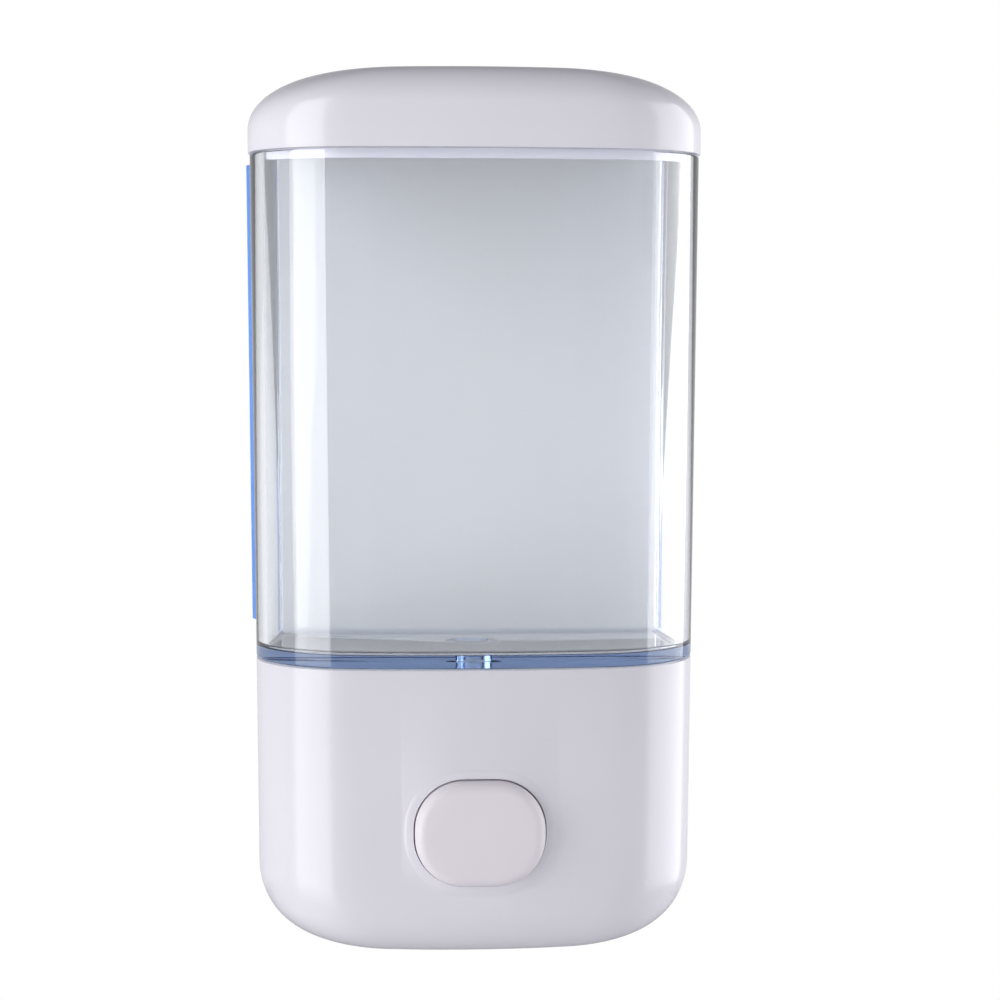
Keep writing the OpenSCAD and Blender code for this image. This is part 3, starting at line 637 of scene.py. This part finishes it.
def node(material, kind, inputs, **settings):
    """Adds a node: inputs are values or the sockets that feed them, settings are its own choices."""
    made = material.node_tree.nodes.new(kind)
    for name, value in settings.items():
        setattr(made, name, value)
    for name, value in inputs.items():
        if isinstance(value, bpy.types.NodeSocket):
            material.node_tree.links.new(value, made.inputs[name])
        else:
            made.inputs[name].default_value = value
    return made


def per_mm(size):
    """The noise scale whose bumps are about that many millimetres apart."""
    return 1 / (size * MM)


def finish(name):
    """A new material, its shader and the place of each point on the piece."""
    material = bpy.data.materials.new(name)
    material.use_nodes = True
    shader = material.node_tree.nodes["Principled BSDF"]
    place = node(material, "ShaderNodeTexCoord", {}).outputs["Object"]
    return material, shader, place


# %% [markdown]
# ### Moulded plastic
# A moulding copies its steel tool. A polished tool gives gloss with a very faint waviness, which moves
# the edge of a reflection a little, and a spark-eroded one gives an even satin. The colour drifts by
# less than the eye notices, but without it the surface looks computed.

# %% Moulded plastic
MIX_A, MIX_B, MIX_COLOUR = 6, 7, 2  # a colour Mix node's two colour inputs and its colour output


def two_tones(material, place, light, dark, size):
    """A slow drift between two near colours, with patches of a size in millimetres."""
    drift = node(material, "ShaderNodeTexNoise", {"Vector": place, "Scale": per_mm(size), "Detail": 2})
    mixed = node(
        material, "ShaderNodeMix",
        {"Factor": drift.outputs["Fac"], MIX_A: colour(dark), MIX_B: colour(light)},
        data_type="RGBA",
    )
    return mixed.outputs[MIX_COLOUR]


def uneven_gloss(material, place, low, high, size):
    """A roughness that wanders between two values."""
    noise = node(material, "ShaderNodeTexNoise", {"Vector": place, "Scale": per_mm(size), "Detail": 3})
    spread = node(
        material, "ShaderNodeMapRange",
        {"Value": noise.outputs["Fac"], "From Min": 0.3, "From Max": 0.7, "To Min": low, "To Max": high},
    )
    return spread.outputs["Result"]


def relief(material, place, size, depth, under=None):
    """A bump of a real size and depth in millimetres, on top of another if there is one."""
    noise = node(material, "ShaderNodeTexNoise", {"Vector": place, "Scale": per_mm(size), "Detail": 1})
    inputs = {"Height": noise.outputs["Fac"], "Distance": depth * MM, "Strength": 1.0}
    if under is not None:
        inputs["Normal"] = under
    return node(material, "ShaderNodeBump", inputs).outputs["Normal"]


def connect(material, shader, sockets):
    """Feeds the shader's named inputs from other nodes."""
    for name, source in sockets.items():
        material.node_tree.links.new(source, shader.inputs[name])


def moulded(name, light, dark, gloss, ior, waviness, grain):
    """Moulded plastic: gloss is (lowest, highest) roughness, grain the (size, depth) of its skin."""
    material, shader, place = finish(name)
    shader.inputs["IOR"].default_value = ior
    wave = relief(material, place, 22, waviness)
    connect(material, shader, {
        "Base Color": two_tones(material, place, light, dark, 45),
        "Roughness": uneven_gloss(material, place, *gloss, 7),
        "Normal": relief(material, place, *grain, wave),
    })
    return material


white_abs = moulded(
    "polished white ABS", "#EFEDF4", "#E9E7EF", (0.16, 0.22), 1.53, 0.004, (0.5, 0.0006)
)
satin_abs = moulded(
    "satin white ABS of the button", "#F4EEF4", "#EFE9F0", (0.34, 0.42), 1.53, 0.003, (0.35, 0.0012)
)
panel_styrene = moulded(
    "white styrene of the back panel", "#F3F1EC", "#EEECE6", (0.34, 0.44), 1.57, 0.006, (0.45, 0.003)
)
natural_pp = moulded(
    "natural polypropylene", "#E3E2DA", "#D8D7CE", (0.4, 0.5), 1.49, 0.004, (0.4, 0.003)
)
natural_pp.node_tree.nodes["Principled BSDF"].inputs["Subsurface Weight"].default_value = 0.15
natural_pp.node_tree.nodes["Principled BSDF"].inputs["Subsurface Scale"].default_value = 1.5 * MM
print("mouldings:", white_abs.name, satin_abs.name, panel_styrene.name, natural_pp.name)

# %% [markdown]
# ### Clear styrene plastic
# The tank is clear, but the plastic holds a little blue. Light that crosses a wall of 2.4 mm hardly
# changes. Light that runs along inside a wall, between its two faces, crosses many centimetres and comes
# out blue. Volume Absorption gives that along the floor and the foot. Lamps light what is inside through
# a Transparent shader, because a lamp's ray can't bend on its way through glass.
# The outer edges of the two back flanges also glow blue with the light that the sheet has caught. A blue
# Diffuse shader stands for that glow. It is fixed to the flanges by their distance from the middle, so
# it stays in its place when the view turns.

# %% The clear tank
clear_styrene, shader, place = finish("clear styrene with a blue tint")
shader.inputs["Base Color"].default_value = colour("#FFFFFF")
shader.inputs["Transmission Weight"].default_value = 1
shader.inputs["IOR"].default_value = 1.57
connect(clear_styrene, shader, {
    "Roughness": uneven_gloss(clear_styrene, place, 0.0, 0.03, 9),
    "Normal": relief(clear_styrene, place, 26, 0.004),
})
tint = node(
    clear_styrene, "ShaderNodeVolumeAbsorption", {"Color": colour("#00A0F0"), "Density": 15}
)
output = clear_styrene.node_tree.nodes["Material Output"]
clear_styrene.node_tree.links.new(tint.outputs["Volume"], output.inputs["Volume"])
rays = node(clear_styrene, "ShaderNodeLightPath", {}).outputs
let_through = node(clear_styrene, "ShaderNodeBsdfTransparent", {"Color": colour("#FDFDFF")})
GLOW_START, GLOW_FULL = 50.1 * MM, 50.6 * MM  # how far out on a flange the glow starts and is full
GLOW_SHARE = 0.9
across = node(clear_styrene, "ShaderNodeSeparateXYZ", {"Vector": place}).outputs["X"]
aside = node(clear_styrene, "ShaderNodeMath", {0: across}, operation="ABSOLUTE").outputs["Value"]
on_flange = node(
    clear_styrene, "ShaderNodeMapRange",
    {
        "Value": aside, "From Min": GLOW_START, "From Max": GLOW_FULL,
        "To Min": 0, "To Max": GLOW_SHARE,
    },
)
held_light = node(
    clear_styrene, "ShaderNodeBsdfDiffuse",
    {"Color": two_tones(clear_styrene, place, "#86B4FA", "#74A4F6", 8)},
)
glass = node(
    clear_styrene, "ShaderNodeMixShader",
    {0: on_flange.outputs["Result"], 1: shader.outputs["BSDF"], 2: held_light.outputs["BSDF"]},
)
surface = node(
    clear_styrene, "ShaderNodeMixShader",
    {0: rays["Is Shadow Ray"], 1: glass.outputs["Shader"], 2: let_through.outputs["BSDF"]},
)
clear_styrene.node_tree.links.new(surface.outputs["Shader"], output.inputs["Surface"])

# %% [markdown]
# ### Silicone and steel
# Silicone is soft to look at: light enters it a little way and its skin is dull. The screws and pins
# are bright stainless steel with fine tool marks. The spring's wire is drawn, which leaves it duller.

# %% Silicone rubber
silicone, shader, place = finish("translucent silicone rubber")
shader.inputs["IOR"].default_value = 1.41
shader.inputs["Subsurface Weight"].default_value = 0.35
shader.inputs["Subsurface Scale"].default_value = 2 * MM
connect(silicone, shader, {
    "Base Color": two_tones(silicone, place, "#DCDCDA", "#CFCFCE", 6),
    "Roughness": uneven_gloss(silicone, place, 0.5, 0.62, 3),
    "Normal": relief(silicone, place, 0.6, 0.004),
})


# %% Steel
def steel(name, light, dark, rough_low, rough_high, lines):
    """Bright steel: lines are the (size, depth) of its tool marks."""
    material, shader, place = finish(name)
    shader.inputs["Metallic"].default_value = 1
    connect(material, shader, {
        "Base Color": two_tones(material, place, light, dark, 5),
        "Roughness": uneven_gloss(material, place, rough_low, rough_high, 1.5),
        "Normal": relief(material, place, *lines),
    })
    return material


turned_steel = steel("turned stainless steel", "#C6C8CB", "#AEB0B4", 0.2, 0.32, (0.15, 0.002))
drawn_steel = steel("drawn spring steel", "#BDBFC2", "#9FA1A5", 0.26, 0.38, (0.1, 0.003))

# %% [markdown]
# ### Giving every piece its finish
# New pieces and CAD nodes alike get one material in place of what they came with.

# %% Finish every piece
FINISHES = {
    white_abs: ("lid_moulding", "pump_cover_moulding", "nozzle"),
    satin_abs: ("button_cap",),
    clear_styrene: ("clear_tank",),
    panel_styrene: ("back_panel", "wall_plate"),
    natural_pp: ("pump_body", "barrel_cap", "channel_plug", "piston"),
    silicone: ("tank_seal", "inlet_valve", "outlet_valve", "nozzle_seal", "piston_seal"),
    turned_steel: ("hinge_pins", "cover_screws", "pump_screws"),
    drawn_steel: ("return_spring_wire",),
}
for material, names in FINISHES.items():
    for name in names:
        piece = bpy.data.objects[name]
        piece.data.materials.clear()
        piece.data.materials.append(material)
print("finished", sum(len(names) for names in FINISHES.values()), "pieces")

# %% [markdown]
# ## The studio
# The dispenser hangs on a wall, so the floor is well below it. Two tall soft boxes stand at the left and
# the right: they are what draws the two upright bands of light down the round corners. The sky is bright
# all round at eye level and dim overhead, which darkens the lid's top edge. Seen directly or through the
# tank, it is plain white.

# %% Floor
FLOOR_DROP, FLOOR_R = 420 * MM, 1200 * MM
bpy.ops.object.select_all(action="DESELECT")
bpy.ops.mesh.primitive_circle_add(
    vertices=96, radius=FLOOR_R, fill_type="NGON", location=(0, 0, foot_z - FLOOR_DROP)
)
floor = bpy.context.object
floor.name = "studio_floor"
paper, shader, place = finish("pale studio paper")
shader.inputs["Roughness"].default_value = 0.9
rays = node(paper, "ShaderNodeLightPath", {}).outputs
fill = node(paper, "ShaderNodeMath", {0: rays["Is Camera Ray"], 1: 0.5}, operation="MULTIPLY")
shader.inputs["Emission Color"].default_value = colour("#F4F4F6")
connect(paper, shader, {
    "Base Color": two_tones(paper, place, "#DCDCDE", "#D6D6D9", 300),
    "Emission Strength": fill.outputs["Value"],
})
floor.data.materials.append(paper)
floor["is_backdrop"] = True

# %% Soft boxes
AIM = Vector((0, -40 * MM, 0))


def soft_box(name, angle, distance, width, height, rise, glow):
    """A soft box at an angle from straight ahead, positive to the right. glow is its brightness."""
    way = math.radians(angle)
    light = bpy.data.lights.new(name, "AREA")
    light.shape = "RECTANGLE"
    light.size = width
    light.size_y = height
    light.energy = glow * math.pi * width * height
    lamp = bpy.data.objects.new(name, light)
    bpy.context.scene.collection.objects.link(lamp)
    lamp.location = AIM + Vector((distance * math.sin(way), -distance * math.cos(way), rise))
    lamp.rotation_euler = (AIM - lamp.location).to_track_quat("-Z", "Y").to_euler()
    return lamp


soft_box("left_soft_box", angle=-58, distance=1.3, width=1.0, height=2.2, rise=-0.1, glow=2.7)
soft_box("right_soft_box", angle=98, distance=1.3, width=1.5, height=2.2, rise=-0.1, glow=2.2)

# %% Sky
sky = bpy.data.worlds.new("studio_sky")
bpy.context.scene.world = sky
sky.use_nodes = True
way = node(sky, "ShaderNodeTexCoord", {}).outputs["Generated"]
height = node(sky, "ShaderNodeSeparateXYZ", {"Vector": way}).outputs["Z"]
rise = node(sky, "ShaderNodeMapRange", {"Value": height, "From Min": -1, "From Max": 1})
ramp = node(sky, "ShaderNodeValToRGB", {"Fac": rise.outputs["Result"]})
ramp.color_ramp.elements[0].color = colour("#98989C")
ramp.color_ramp.elements[1].color = colour("#48484E")
ramp.color_ramp.elements[1].position = 0.85
ramp.color_ramp.elements.new(0.5).color = colour("#DADADE")
rays = node(sky, "ShaderNodeLightPath", {}).outputs
seen = node(
    sky, "ShaderNodeMath", {0: rays["Is Camera Ray"], 1: rays["Is Transmission Ray"]},
    operation="MAXIMUM",
).outputs["Value"]
background = sky.node_tree.nodes["Background"]
mixed = node(
    sky, "ShaderNodeMix",
    {"Factor": seen, MIX_A: ramp.outputs["Color"], MIX_B: colour("#FFFFFF")}, data_type="RGBA",
)
sky.node_tree.links.new(mixed.outputs[MIX_COLOUR], background.inputs["Color"])

# %% Camera
eye = bpy.data.cameras.new("camera")
eye.lens = 86.4
eye.sensor_width = 36
camera = bpy.data.objects.new("camera", eye)
bpy.context.scene.collection.objects.link(camera)
camera.location = Vector((-28.1, -584.8, 40.1)) * MM
PITCH, ROLL, YAW = 4.28, 0.12, 3.59  # degrees down, clockwise and to the right
camera.rotation_euler = [math.radians(angle) for angle in (90 - PITCH, -ROLL, -YAW)]
bpy.context.scene.camera = camera
bpy.context.scene.view_settings.view_transform = "Standard"

# %% [markdown]
# ## The sizes
# The new surfaces must stay in the CAD model's box, so both boxes are written down.

# %% Sizes
new_low, new_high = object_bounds()
sizes = {
    "cad": [list(cad_low), list(cad_high)],
    "visual": [list(new_low), list(new_high)],
}
for name, (low, high) in sizes.items():
    print(name, [round(x / MM, 2) for x in low], [round(x / MM, 2) for x in high])
